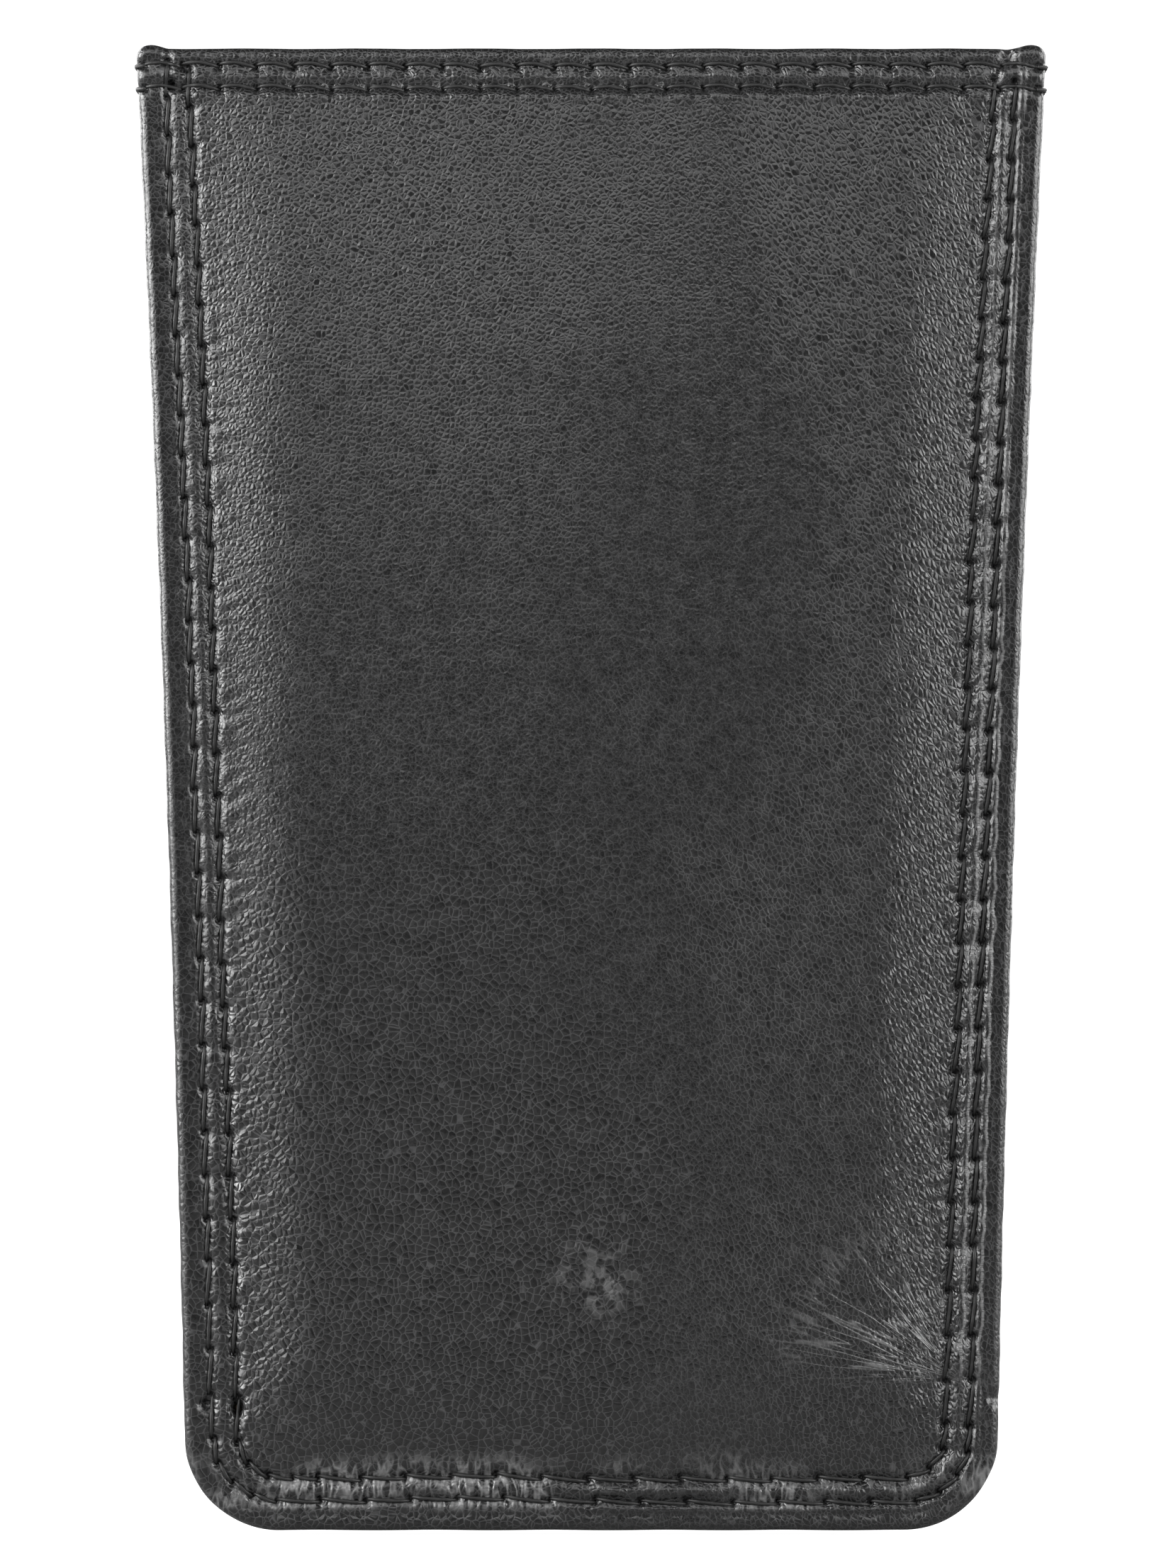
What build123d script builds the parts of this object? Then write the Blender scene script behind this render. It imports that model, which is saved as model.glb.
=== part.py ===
from build123d import *

import os

# Money clip: an open-topped leather sleeve for cards and notes, with a sprung clip on its back.
# X runs across the sleeve, Z runs up to its mouth, and the padded front faces -Y.
# The origin is the middle of the bottom edge, where the front and back panels meet.
# "Depth" is the distance from that meeting plane out through one panel. All sizes are millimetres.

# Sleeve outline
SLEEVE_HEIGHT = 114.0
MOUTH_WIDTH = 70.0
FOOT_WIDTH = 62.3
SIDE_HOLLOW = 0.4  # how far each side curves in from a straight line
CORNER_RADIUS = 7.3
MOUTH_CORNER_RADIUS = 0.7

# Thicknesses of the layers
LEATHER = 0.8
LINING = 0.3
STIFFENER = 0.4
FRONT_PADDING = 1.2
BACK_REINFORCEMENT = 0.5
POCKET_GAP = 1.0

# Margins, all measured in from the edge of the sleeve
EDGE_ROLL = 0.7  # radius of the rolled edge
TURN_WIDTH = 6.0  # leather turned in along the sides and the bottom
HEM_WIDTH = 5.0  # leather turned in along the mouth
PANEL_CLEARANCE = 0.26  # from the inner row of stitches to the foot of the raised panel
PANEL_SLOPE = 1.8  # width of its sloping shoulder
SKIN_STEP = 0.6  # the padding's edge lies this far inside the panel's edge
TIGHTEST_CORNER = 0.5  # no foot corner is rounded less than this, however far in it lies

# Seams
THREAD_RADIUS = 0.14
OUTER_ROW = 2.2
INNER_ROW = 4.0
HEM_UPPER_ROW = 1.45
HEM_LOWER_ROW = 3.2
SEAM_PITCH = 3.2
HEM_PITCH = 2.85
STITCH_SHARE = 0.8  # the part of the pitch that one stitch covers
HEM_END = 1.4  # hem rows stop this far from the side edges
SEAM_TOP = 4.4  # side rows stop this far below the mouth
NEEDLE_SLANT = 8.0  # degrees

# Clip
CLIP_WIDTH = 18.0
SHEET = 0.8
HINGE_HEIGHT = 12.5
BASE_LENGTH = 49.5  # from here to ARM_LENGTH, heights are counted from the hinge
JAW_REACH = 45.5
ARM_LENGTH = 53.0
TIP_WIDTH = 14.0
ARM_BOW = 1.3
JAW_CLEARANCE = 0.3
TIP_FLARE = 2.3
BASE_CORNER = 3.0
TIP_CORNER = 4.5
PIN_RADIUS = 0.8
PIN_CLEARANCE = 0.05
PIN_HEAD_RADIUS = 1.15
PIN_HEAD = 0.4
BASE_KNUCKLE = 2.8
ARM_KNUCKLE = 2.3
KNUCKLE_GAP = 0.3
HINGE_CLEARANCE = 0.4

# Spring
WIRE_RADIUS = 0.25
WIRE_CLEARANCE = 0.15
SPRING_TURNS = 8.5
SPRING_LENGTH = 5.7
LEG_LENGTH = 6.0
LEG_BEND = 2.2
LEG_CLEARANCE = 0.05

# Rivets
RIVET_RADIUS = 1.5
RIVET_HOLE_CLEARANCE = 0.05
RIVET_HEAD_RADIUS = 2.3
RIVET_HEAD = 0.7
RIVET_SETBACKS = (6.2, 33.5)  # from the hinge
CLINCH_RADIUS = 2.2
CLINCH = 0.3
WASHER_RADIUS = 3.2
WASHER = 0.25

FRONT = 1
BACK = -1

panel_inset = INNER_ROW + THREAD_RADIUS + PANEL_CLEARANCE
rivet_heights_on_back = [HINGE_HEIGHT + setback for setback in RIVET_SETBACKS]

# Depths of the faces between the layers
pocket_face = POCKET_GAP / 2
lining_top = pocket_face + LINING
board_top = lining_top + STIFFENER
margin_top = board_top + LEATHER
clip_bed = margin_top + BACK_REINFORCEMENT
base_top_face = clip_bed + SHEET
knuckle_radius = PIN_RADIUS + SHEET
pin_depth = clip_bed + knuckle_radius
hinge_slot_top = HINGE_HEIGHT + knuckle_radius + HINGE_CLEARANCE
base_knuckle_inner = CLIP_WIDTH / 2 - BASE_KNUCKLE
arm_knuckle_outer = base_knuckle_inner - KNUCKLE_GAP
arm_knuckle_inner = arm_knuckle_outer - ARM_KNUCKLE


def half_width(height):
    """Half the sleeve's width at a height: a straight taper, hollowed along its length."""
    share = height / SLEEVE_HEIGHT
    straight = (FOOT_WIDTH + (MOUTH_WIDTH - FOOT_WIDTH) * share) / 2
    return straight - 4 * SIDE_HOLLOW * share * (1 - share)


def tapered_outline(inset, top_inset, top_radius=MOUTH_CORNER_RADIUS):
    """The sleeve's outline, moved in from the sides and bottom by one inset and down by the other."""
    top = SLEEVE_HEIGHT
    middle = (top + inset) / 2
    with BuildSketch() as outline:
        with BuildLine():
            foot = Line((inset - half_width(inset), inset), (half_width(inset) - inset, inset))
            right = ThreePointArc(foot @ 1, (half_width(middle) - inset, middle), (half_width(top) - inset, top))
            mouth = Line(right @ 1, (inset - half_width(top), top))
            ThreePointArc(mouth @ 1, (inset - half_width(middle), middle), foot @ 0)
        make_face()
        corner = max(CORNER_RADIUS - inset, TIGHTEST_CORNER)
        fillet(outline.vertices().group_by(Axis.Y)[0], corner)
        if top_inset:
            with Locations((0, top)):
                Rectangle(2 * MOUTH_WIDTH, 2 * top_inset, mode=Mode.SUBTRACT)
        if top_radius:
            fillet(outline.vertices().group_by(Axis.Y)[-1], top_radius)
    return outline.sketch


def layer_plane(side, depth):
    """The plane at a depth in one panel. A positive extrusion times side goes outward."""
    return Plane.XZ.offset(side * depth)


def make_leather(side, padding, rivet_heights):
    """One panel's leather: face, rolled edge, turned-in allowance and top hem, cut as one piece."""
    with BuildPart() as leather:
        with BuildSketch(layer_plane(side, 0)):
            add(tapered_outline(0, 0))
        extrude(amount=side * margin_top)
        face_edges = leather.edges().group_by(Axis.Y)
        fillet(face_edges[0] if side == FRONT else face_edges[-1], EDGE_ROLL)
        # the panel raised by what lies under it
        with BuildSketch(layer_plane(side, margin_top)):
            add(tapered_outline(panel_inset, panel_inset))
        with BuildSketch(layer_plane(side, margin_top + padding)):
            add(tapered_outline(panel_inset + PANEL_SLOPE, panel_inset + PANEL_SLOPE))
        loft()
        # room for the padding
        with BuildSketch(layer_plane(side, board_top)):
            add(tapered_outline(panel_inset + SKIN_STEP, panel_inset + SKIN_STEP))
        with BuildSketch(layer_plane(side, board_top + padding)):
            inner_inset = panel_inset + SKIN_STEP + PANEL_SLOPE
            add(tapered_outline(inner_inset, inner_inset))
        loft(mode=Mode.SUBTRACT)
        # room for the stiffener that the edges are turned over
        with BuildSketch(layer_plane(side, lining_top)):
            add(tapered_outline(LEATHER, LEATHER))
        extrude(amount=side * STIFFENER, mode=Mode.SUBTRACT)
        # room for the lining, inside the turned edges and below the hem
        with BuildSketch(layer_plane(side, pocket_face)):
            add(tapered_outline(TURN_WIDTH, HEM_WIDTH, 0))
        extrude(amount=side * LINING, mode=Mode.SUBTRACT)
        # half of the pocket, open at the mouth
        with BuildSketch(layer_plane(side, 0)):
            add(tapered_outline(TURN_WIDTH, 0, 0))
        extrude(amount=side * pocket_face, mode=Mode.SUBTRACT)
        cut_rivet_holes(leather, side, rivet_heights)
    return leather.part


def cut_rivet_holes(target, side, heights):
    """Cuts the rivet holes right through the part that is being built."""
    for height in heights:
        drill = Cylinder(
            RIVET_RADIUS + RIVET_HOLE_CLEARANCE,
            4 * margin_top,
            rotation=(90, 0, 0),
            mode=Mode.PRIVATE,
        )
        with Locations((0, -side * margin_top, height)):
            add(drill, mode=Mode.SUBTRACT)


def make_padding(side, thickness, rivet_heights):
    """The sloping-edged layer under a raised panel."""
    with BuildPart() as pad:
        foot_inset = panel_inset + SKIN_STEP
        with BuildSketch(layer_plane(side, board_top)):
            add(tapered_outline(foot_inset, foot_inset))
        with BuildSketch(layer_plane(side, board_top + thickness)):
            add(tapered_outline(foot_inset + PANEL_SLOPE, foot_inset + PANEL_SLOPE))
        loft()
        cut_rivet_holes(pad, side, rivet_heights)
    return pad.part


def make_stiffener(side, rivet_heights):
    """The thin board that a panel's edges are turned over."""
    with BuildPart() as board:
        with BuildSketch(layer_plane(side, lining_top)):
            add(tapered_outline(LEATHER, LEATHER))
        extrude(amount=side * STIFFENER)
        cut_rivet_holes(board, side, rivet_heights)
    return board.part


def make_lining(side, rivet_heights):
    """The cloth that lines one side of the pocket, from the foot up to the hem."""
    with BuildPart() as cloth:
        with BuildSketch(layer_plane(side, pocket_face)):
            add(tapered_outline(TURN_WIDTH, HEM_WIDTH, 0))
        extrude(amount=side * LINING)
        cut_rivet_holes(cloth, side, rivet_heights)
    return cloth.part


def stitch_row(path, pitch, side):
    """Separate stitches along a path in the sleeve's face, lying on the margin's leather."""
    count = round(path.length / pitch)
    pitch = path.length / count
    depth = margin_top + THREAD_RADIUS
    spots = []
    for number in range(count):
        share = (number + 0.5) / count
        point = path @ share
        along = (path % share).rotate(Axis.Z, NEEDLE_SLANT)
        spots.append(
            Plane(origin=(point.X, -side * depth, point.Y), z_dir=(along.X, 0, along.Y))
        )
    with BuildPart() as row:
        with Locations(*spots):
            Cylinder(THREAD_RADIUS, pitch * STITCH_SHARE)
    return row.part


def seam_path(inset):
    """A row's path: down one side, round the foot and up the other side."""
    edges = tapered_outline(inset, SEAM_TOP, 0).edges()
    return Wire(edges.sort_by(Axis.Y)[:-1])


def hem_path(drop):
    """A hem row's path, straight across below the mouth."""
    height = SLEEVE_HEIGHT - drop
    reach = half_width(height) - HEM_END
    with BuildLine() as line:
        Line((-reach, height), (reach, height))
    return line.wire()


# Sleeve panels
front_leather = make_leather(FRONT, FRONT_PADDING, ())
front_padding = make_padding(FRONT, FRONT_PADDING, ())
front_stiffener = make_stiffener(FRONT, ())
front_lining = make_lining(FRONT, ())
back_leather = make_leather(BACK, BACK_REINFORCEMENT, rivet_heights_on_back)
back_reinforcement = make_padding(BACK, BACK_REINFORCEMENT, rivet_heights_on_back)
back_stiffener = make_stiffener(BACK, rivet_heights_on_back)
back_lining = make_lining(BACK, rivet_heights_on_back)

# Threads: the needle thread shows on the front of each seam, the bobbin thread on its back
front_hem_upper_thread = stitch_row(hem_path(HEM_UPPER_ROW), HEM_PITCH, FRONT)
front_hem_lower_thread = stitch_row(hem_path(HEM_LOWER_ROW), HEM_PITCH, FRONT)
back_hem_upper_thread = stitch_row(hem_path(HEM_UPPER_ROW), HEM_PITCH, BACK)
back_hem_lower_thread = stitch_row(hem_path(HEM_LOWER_ROW), HEM_PITCH, BACK)
outer_needle_thread = stitch_row(seam_path(OUTER_ROW), SEAM_PITCH, FRONT)
inner_needle_thread = stitch_row(seam_path(INNER_ROW), SEAM_PITCH, FRONT)
outer_bobbin_thread = stitch_row(seam_path(OUTER_ROW), SEAM_PITCH, BACK)
inner_bobbin_thread = stitch_row(seam_path(INNER_ROW), SEAM_PITCH, BACK)

# Rivets: a domed head on the clip's base, the shank, and a clinched end on a washer in the pocket
clinch_face = pocket_face - WASHER
dome_radius = (RIVET_HEAD_RADIUS**2 + RIVET_HEAD**2) / (2 * RIVET_HEAD)
dome_shoulder = (dome_radius**2 - (RIVET_HEAD_RADIUS / 2) ** 2) ** 0.5 - (dome_radius - RIVET_HEAD)
with BuildPart() as clip_rivets:
    for rivet_height in rivet_heights_on_back:
        with BuildSketch(Plane.YZ):
            with BuildLine():
                Polyline(
                    (clinch_face - CLINCH, rivet_height),
                    (clinch_face - CLINCH, rivet_height + CLINCH_RADIUS),
                    (clinch_face, rivet_height + CLINCH_RADIUS),
                    (clinch_face, rivet_height + RIVET_RADIUS),
                    (base_top_face, rivet_height + RIVET_RADIUS),
                    (base_top_face, rivet_height + RIVET_HEAD_RADIUS),
                )
                dome = ThreePointArc(
                    (base_top_face, rivet_height + RIVET_HEAD_RADIUS),
                    (base_top_face + dome_shoulder, rivet_height + RIVET_HEAD_RADIUS / 2),
                    (base_top_face + RIVET_HEAD, rivet_height),
                )
                Line(dome @ 1, (clinch_face - CLINCH, rivet_height))
            make_face()
        revolve(axis=Axis((0, 0, rivet_height), (0, 1, 0)))

with BuildPart() as rivet_washers:
    for rivet_height in rivet_heights_on_back:
        with BuildSketch(layer_plane(BACK, clinch_face)):
            with Locations((0, rivet_height)):
                Circle(WASHER_RADIUS)
                Circle(RIVET_RADIUS + RIVET_HOLE_CLEARANCE, mode=Mode.SUBTRACT)
        extrude(amount=BACK * WASHER)

# Base plate: flat on the leather, with a rolled knuckle at each side of its foot
base_top = HINGE_HEIGHT + BASE_LENGTH
with BuildPart() as clip_base_plate:
    with BuildSketch(layer_plane(BACK, clip_bed)) as base_outline:
        with BuildLine():
            Polyline(
                (-CLIP_WIDTH / 2, HINGE_HEIGHT),
                (-CLIP_WIDTH / 2, base_top),
                (CLIP_WIDTH / 2, base_top),
                (CLIP_WIDTH / 2, HINGE_HEIGHT),
                close=True,
            )
        make_face()
        fillet(base_outline.vertices().group_by(Axis.Y)[-1], BASE_CORNER)
    extrude(amount=BACK * SHEET)
    for x_side in (-1, 1):
        knuckle_face = x_side * base_knuckle_inner
        with BuildSketch(Plane.YZ.offset(knuckle_face)):
            with Locations((pin_depth, HINGE_HEIGHT)):
                Circle(knuckle_radius)
        extrude(amount=x_side * BASE_KNUCKLE)
    # the slot that the arm's knuckles and the spring turn in
    with BuildSketch(Plane.XZ):
        with Locations((0, (HINGE_HEIGHT + hinge_slot_top) / 2 - knuckle_radius)):
            Rectangle(2 * base_knuckle_inner, hinge_slot_top - HINGE_HEIGHT + 2 * knuckle_radius)
    extrude(amount=-2 * pin_depth, mode=Mode.SUBTRACT)
    with BuildSketch(Plane.YZ):
        with Locations((pin_depth, HINGE_HEIGHT)):
            Circle(PIN_RADIUS)
    extrude(amount=CLIP_WIDTH, both=True, mode=Mode.SUBTRACT)
    cut_rivet_holes(clip_base_plate, BACK, rivet_heights_on_back)

# Hinge pin: peened over at both ends
with BuildPart() as clip_hinge_pin:
    with BuildSketch(Plane.YZ):
        with Locations((pin_depth, HINGE_HEIGHT)):
            Circle(PIN_RADIUS)
    extrude(amount=CLIP_WIDTH / 2, both=True)
    for x_side in (-1, 1):
        with BuildSketch(Plane.YZ.offset(x_side * CLIP_WIDTH / 2)):
            with Locations((pin_depth, HINGE_HEIGHT)):
                Circle(PIN_HEAD_RADIUS)
        extrude(amount=x_side * PIN_HEAD)

# Arm: rolled round the pin, bowed along its length, closing on a jaw line, flared at the tip
arm_root = pin_depth + knuckle_radius - SHEET / 2
arm_jaw = base_top_face + JAW_CLEARANCE + SHEET / 2
jaw_height = HINGE_HEIGHT + JAW_REACH
tip_height = HINGE_HEIGHT + ARM_LENGTH
with BuildPart() as clip_arm:
    with BuildSketch(Plane.YZ):
        with BuildLine():
            bow = ThreePointArc(
                (arm_root, HINGE_HEIGHT),
                ((arm_root + arm_jaw) / 2 + ARM_BOW, (HINGE_HEIGHT + jaw_height) / 2),
                (arm_jaw + JAW_CLEARANCE / 2, jaw_height),
            )
            TangentArc(bow @ 1, (arm_jaw + TIP_FLARE, tip_height), tangent=bow % 1)
        trace(line_width=SHEET)
    extrude(amount=CLIP_WIDTH / 2, both=True)
    # the arm's outline seen from behind: full width at the hinge, narrower and rounded at the tip
    with BuildSketch(Plane.XZ) as arm_outline:
        with BuildLine():
            Polyline(
                (-CLIP_WIDTH / 2, HINGE_HEIGHT - knuckle_radius),
                (-CLIP_WIDTH / 2, hinge_slot_top),
                (-TIP_WIDTH / 2, tip_height),
                (TIP_WIDTH / 2, tip_height),
                (CLIP_WIDTH / 2, hinge_slot_top),
                (CLIP_WIDTH / 2, HINGE_HEIGHT - knuckle_radius),
                close=True,
            )
        make_face()
        fillet(arm_outline.vertices().group_by(Axis.Y)[-1], TIP_CORNER)
    extrude(amount=-4 * pin_depth, mode=Mode.INTERSECT)
    # notches that clear the base's knuckles and the spring
    spring_notch_top = HINGE_HEIGHT + knuckle_radius + LEG_BEND
    for low_x, high_x, notch_top in (
        (-CLIP_WIDTH, -arm_knuckle_outer, hinge_slot_top),
        (-arm_knuckle_inner, arm_knuckle_inner, spring_notch_top),
        (arm_knuckle_outer, CLIP_WIDTH, hinge_slot_top),
    ):
        with BuildSketch(Plane.XZ):
            with Locations(((low_x + high_x) / 2, notch_top - CLIP_WIDTH / 2)):
                Rectangle(high_x - low_x, CLIP_WIDTH)
        extrude(amount=-4 * pin_depth, mode=Mode.SUBTRACT)
    for x_side in (-1, 1):
        with BuildSketch(Plane.YZ.offset(x_side * arm_knuckle_inner)):
            with Locations((pin_depth, HINGE_HEIGHT)):
                Circle(knuckle_radius)
        extrude(amount=x_side * ARM_KNUCKLE)
    with BuildSketch(Plane.YZ):
        with Locations((pin_depth, HINGE_HEIGHT)):
            Circle(PIN_RADIUS + PIN_CLEARANCE)
    extrude(amount=CLIP_WIDTH, both=True, mode=Mode.SUBTRACT)

# Torsion spring: coiled round the pin, one leg on the base plate and one under the arm
coil_radius = PIN_RADIUS + WIRE_CLEARANCE + WIRE_RADIUS
spring_reach = SPRING_LENGTH / 2
leg_tip = HINGE_HEIGHT + LEG_LENGTH
leg_knee = HINGE_HEIGHT + LEG_BEND
base_leg_depth = base_top_face + WIRE_RADIUS + LEG_CLEARANCE
arm_leg_depth = arm_root - SHEET / 2 - WIRE_RADIUS - LEG_CLEARANCE
hinge_axis = Axis((0, pin_depth, HINGE_HEIGHT), (1, 0, 0))
coil = Helix(
    pitch=SPRING_LENGTH / SPRING_TURNS,
    height=SPRING_LENGTH,
    radius=coil_radius,
    center=(-spring_reach, pin_depth, HINGE_HEIGHT),
    direction=(1, 0, 0),
)
with BuildPart() as clip_torsion_spring:
    with BuildLine() as wire_path:
        base_leg = Spline(
            (-spring_reach, base_leg_depth, leg_tip),
            (-spring_reach, base_leg_depth, leg_knee),
            (-spring_reach, pin_depth - coil_radius, HINGE_HEIGHT),
            tangents=((0, 0, -1), (0, 0, -1)),
        )
        add(coil.rotate(hinge_axis, 90))
        Spline(
            (spring_reach, pin_depth + coil_radius, HINGE_HEIGHT),
            (spring_reach, arm_leg_depth, leg_knee),
            (spring_reach, arm_leg_depth, leg_tip),
            tangents=((0, 0, 1), (0, 0, 1)),
        )
    with BuildSketch(Plane(origin=base_leg @ 0, z_dir=base_leg % 0)):
        Circle(WIRE_RADIUS)
    sweep(path=wire_path.wire(), is_frenet=True)


pieces = {
    "front_leather": front_leather,
    "front_padding": front_padding,
    "front_stiffener": front_stiffener,
    "front_lining": front_lining,
    "back_leather": back_leather,
    "back_reinforcement": back_reinforcement,
    "back_stiffener": back_stiffener,
    "back_lining": back_lining,
    "front_hem_upper_thread": front_hem_upper_thread,
    "front_hem_lower_thread": front_hem_lower_thread,
    "back_hem_upper_thread": back_hem_upper_thread,
    "back_hem_lower_thread": back_hem_lower_thread,
    "outer_needle_thread": outer_needle_thread,
    "inner_needle_thread": inner_needle_thread,
    "outer_bobbin_thread": outer_bobbin_thread,
    "inner_bobbin_thread": inner_bobbin_thread,
    "clip_rivets": clip_rivets.part,
    "rivet_washers": rivet_washers.part,
    "clip_base_plate": clip_base_plate.part,
    "clip_hinge_pin": clip_hinge_pin.part,
    "clip_torsion_spring": clip_torsion_spring.part,
    "clip_arm": clip_arm.part,
}
os.makedirs("parts", exist_ok=True)
for name, piece in pieces.items():
    piece.label = name
    export_step(piece, f"parts/{name}.step")
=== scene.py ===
# %% [markdown]
# # A leather money clip
#
# The object is an open-topped leather sleeve for cards and notes, with a sprung steel clip on its
# back. Its engineering model is already made: it fixes every size, every joint and where each piece
# sits. This notebook loads that model as a frame and makes the pieces look real around it. Nothing
# in the frame is moved. A piece either keeps its engineering shape and gets a better finish, or is
# hidden and replaced by a mesh made here.

import math

import bmesh
import bpy
import numpy as np
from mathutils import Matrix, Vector


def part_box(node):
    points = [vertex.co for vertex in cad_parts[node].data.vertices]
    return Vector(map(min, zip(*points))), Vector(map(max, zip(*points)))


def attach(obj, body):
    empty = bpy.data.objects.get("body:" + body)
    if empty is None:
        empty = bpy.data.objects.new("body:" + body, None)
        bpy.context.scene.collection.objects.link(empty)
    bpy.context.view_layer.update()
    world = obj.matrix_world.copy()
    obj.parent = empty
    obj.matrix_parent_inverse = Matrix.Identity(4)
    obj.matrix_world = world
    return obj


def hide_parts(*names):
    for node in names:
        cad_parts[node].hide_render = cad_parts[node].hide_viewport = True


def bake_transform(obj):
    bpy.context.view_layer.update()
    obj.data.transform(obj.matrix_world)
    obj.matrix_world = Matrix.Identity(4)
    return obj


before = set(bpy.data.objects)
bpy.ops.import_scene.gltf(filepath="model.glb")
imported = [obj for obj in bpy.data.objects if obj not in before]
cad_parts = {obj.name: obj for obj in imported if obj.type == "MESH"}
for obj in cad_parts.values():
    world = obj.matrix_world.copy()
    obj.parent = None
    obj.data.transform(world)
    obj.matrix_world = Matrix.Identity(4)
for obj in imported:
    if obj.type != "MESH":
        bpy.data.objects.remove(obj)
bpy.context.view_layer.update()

# %% [markdown]
# ## Sizes of the sleeve
#
# Leather goods are cut from a paper pattern, so the whole sleeve follows from a few numbers: its
# height, its width at the mouth and the foot, and how round the lower corners are. The height is read
# from the frame; the widths and the corner are given. All lengths in this notebook are millimetres
# until a mesh is made, because that is how a leather worker thinks. Blender's own unit is the metre.

# %% Read the pattern from the frame
MM = 0.001
front_low, front_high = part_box("front_leather")
HEIGHT = front_high.z / MM
MOUTH_WIDTH = 70.0
FOOT_WIDTH = 62.3
SIDE_HOLLOW = 0.4  # the sides curve in a little between mouth and foot
CORNER = 7.3
MARGIN_DEPTH = 2.0  # from the plane between the panels out to the face of the margin
EDGE_ROLL = 0.7
OUTER_ROW = 2.2
INNER_ROW = 4.0
HEM_UPPER = 1.45
HEM_LOWER = 3.2
HEM_DEEP = 5.0
TURNED_IN = 6.0
POCKET_HALF = 0.5
WELD = 0.0005  # points closer than this are joined
LINING_DEPTH = 0.8
FRONT, BACK = 1, -1
print("sleeve", round(HEIGHT, 2), "mm high,", round((front_high.x - front_low.x) / MM, 2), "mm wide")


# %% Outline of the sleeve
def half_width(z):
    """Half the width at a height, along the straight taper and its slight hollow."""
    share = z / HEIGHT
    straight = (FOOT_WIDTH + (MOUTH_WIDTH - FOOT_WIDTH) * share) / 2
    return straight - 4 * SIDE_HOLLOW * share * (1 - share)


def side_lean(z):
    """How fast the half width grows with height."""
    return (MOUTH_WIDTH - FOOT_WIDTH) / 2 / HEIGHT - 4 * SIDE_HOLLOW * (1 - 2 * z / HEIGHT) / HEIGHT


def edge_distance(x, z):
    """Distance in from the sides and the foot, with the rounded corners taken into account."""
    x, z = np.abs(x), np.asarray(z, float)
    side = half_width(z) - x
    near = np.minimum(side, z)
    centre_x = half_width(CORNER) - CORNER
    reach = np.hypot(np.maximum(x - centre_x - (z - CORNER) * 0.023, 0), np.maximum(CORNER - z, 0))
    in_corner = (x > centre_x) & (z < CORNER)
    return np.where(in_corner, CORNER - reach, near)


def row_point(inset, way):
    """A point and its outward normal on the line at one inset, some way from the top left."""
    radius = CORNER - inset
    side_length = HEIGHT - CORNER
    arc_length = radius * math.pi / 2
    centre_x = half_width(CORNER) - CORNER
    whole = row_length(inset)
    mirror = way > whole / 2
    if mirror:
        way = whole - way
    if way < side_length:
        z = HEIGHT - way
        x, nx, nz = -(half_width(z) - inset), -1.0, side_lean(z)
    elif way < side_length + arc_length:
        angle = (way - side_length) / radius
        nx, nz = -math.cos(angle), -math.sin(angle)
        x, z = -centre_x + radius * nx, CORNER + radius * nz
    else:
        x, z, nx, nz = -centre_x + (way - side_length - arc_length), inset, 0.0, -1.0
    length = math.hypot(nx, nz)
    if mirror:
        x, nx = -x, -nx
    return np.array([x, z]), np.array([nx, nz]) / length


def row_length(inset):
    """Length of the line at one inset, from the mouth round the foot to the mouth."""
    centre_x = half_width(CORNER) - CORNER
    return 2 * (HEIGHT - CORNER) + (CORNER - inset) * math.pi + 2 * centre_x


print("outer seam row is", round(row_length(OUTER_ROW)), "mm long")

# %% [markdown]
# ## Camera and light
#
# The sleeve is seen square on, with a long lens, so that its taper is real and not perspective. Black
# leather is drawn by what it reflects. Two tall soft lights in front of the sides pull bright
# shoulders out of the padding. Two more, almost level with the face, catch the rolled edges. A weak
# one above gives the slow fall of tone from mouth to foot. Nothing stands straight in front, so the
# face stays black. Two lights behind serve the back.

# %% Camera
VIEW_DISTANCE = 0.60
FRAME_HEIGHT = 0.12033  # height of the picture at the sleeve
FACE_DEPTH = 0.003  # how far the sleeve's face stands towards the camera
SENSOR_WIDTH = 36
AIM = Vector((-0.00025, 0, 0.0574))
camera_data = bpy.data.cameras.new("camera")
camera_data.sensor_width = SENSOR_WIDTH
camera_data.lens = SENSOR_WIDTH * (VIEW_DISTANCE - FACE_DEPTH) / FRAME_HEIGHT
camera_data.clip_start, camera_data.clip_end = 0.01, 20
camera = bpy.data.objects.new("camera", camera_data)
camera.location = AIM + Vector((0, -VIEW_DISTANCE, 0))
camera.rotation_euler = (math.radians(90), 0, 0)
bpy.context.scene.collection.objects.link(camera)
bpy.context.scene.camera = camera
print("lens", round(camera_data.lens, 1), "mm")


# %% Soft lights
def soft_light(name, place, target, width, height, power):
    """A rectangular studio light that faces a point."""
    data = bpy.data.lights.new(name, "AREA")
    data.shape = "RECTANGLE"
    data.size, data.size_y, data.energy = width, height, power
    lamp = bpy.data.objects.new(name, data)
    lamp.location = place
    aim = Vector(target) - Vector(place)
    lamp.rotation_euler = aim.to_track_quat("-Z", "Y").to_euler()
    lamp.visible_camera = False
    bpy.context.scene.collection.objects.link(lamp)


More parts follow.
